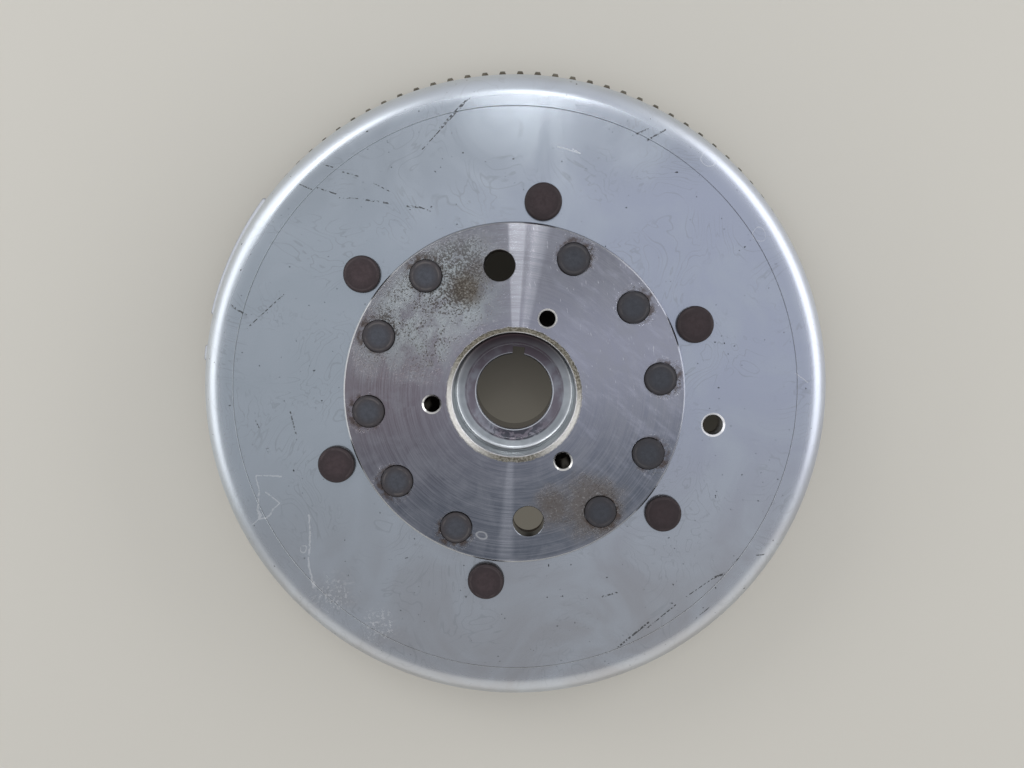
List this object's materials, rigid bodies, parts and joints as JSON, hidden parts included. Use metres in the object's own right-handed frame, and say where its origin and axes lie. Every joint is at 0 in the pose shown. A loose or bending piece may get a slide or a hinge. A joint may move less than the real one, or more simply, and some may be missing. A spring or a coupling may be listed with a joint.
{
  "type": "flywheel",
  "caption": "Pressed-steel drum flywheel with a riveted tapered hub, starter ring gear and ring of magnets.",
  "frame": {"origin": "centre of the open rim, on the crankshaft axis", "axes": "+Z along the crankshaft axis towards the closed face; +Y through one of the two plain through holes"},
  "size_m": [0.2896, 0.2896, 0.0583],
  "materials": {
    "drum_steel": "satin plated steel with fine swirls",
    "hub_steel": "turned bare steel with light pitting",
    "plate_steel": "dull steel",
    "gear_steel": "oily brown steel",
    "hub_rivet_steel": "dark blue-grey steel",
    "drum_rivet_steel": "dark brown oxide",
    "magnet_ferrite": "ground ferrite",
    "cage_plastic": "moulded black plastic"
  },
  "bodies": {
    "root": {"drum": "drum_steel", "drum_wall": "drum_steel", "hub": "hub_steel", "hub_boss": "hub_steel", "back_plate": "plate_steel", "ring_gear": "gear_steel", "magnet_cage": "cage_plastic", "hub_rivet_01": "hub_rivet_steel", "hub_rivet_02": "hub_rivet_steel", "hub_rivet_03": "hub_rivet_steel", "hub_rivet_04": "hub_rivet_steel", "hub_rivet_05": "hub_rivet_steel", "hub_rivet_06": "hub_rivet_steel", "hub_rivet_07": "hub_rivet_steel", "hub_rivet_08": "hub_rivet_steel", "hub_rivet_09": "hub_rivet_steel", "hub_rivet_10": "hub_rivet_steel", "drum_rivet_01": "drum_rivet_steel", "drum_rivet_02": "drum_rivet_steel", "drum_rivet_03": "drum_rivet_steel", "drum_rivet_04": "drum_rivet_steel", "drum_rivet_05": "drum_rivet_steel", "drum_rivet_06": "drum_rivet_steel", "magnet_01": "magnet_ferrite", "magnet_02": "magnet_ferrite", "magnet_03": "magnet_ferrite", "magnet_04": "magnet_ferrite", "magnet_05": "magnet_ferrite", "magnet_06": "magnet_ferrite", "magnet_07": "magnet_ferrite", "magnet_08": "magnet_ferrite", "magnet_09": "magnet_ferrite", "magnet_10": "magnet_ferrite", "magnet_11": "magnet_ferrite", "magnet_12": "magnet_ferrite"}
  },
  "joints": []
}
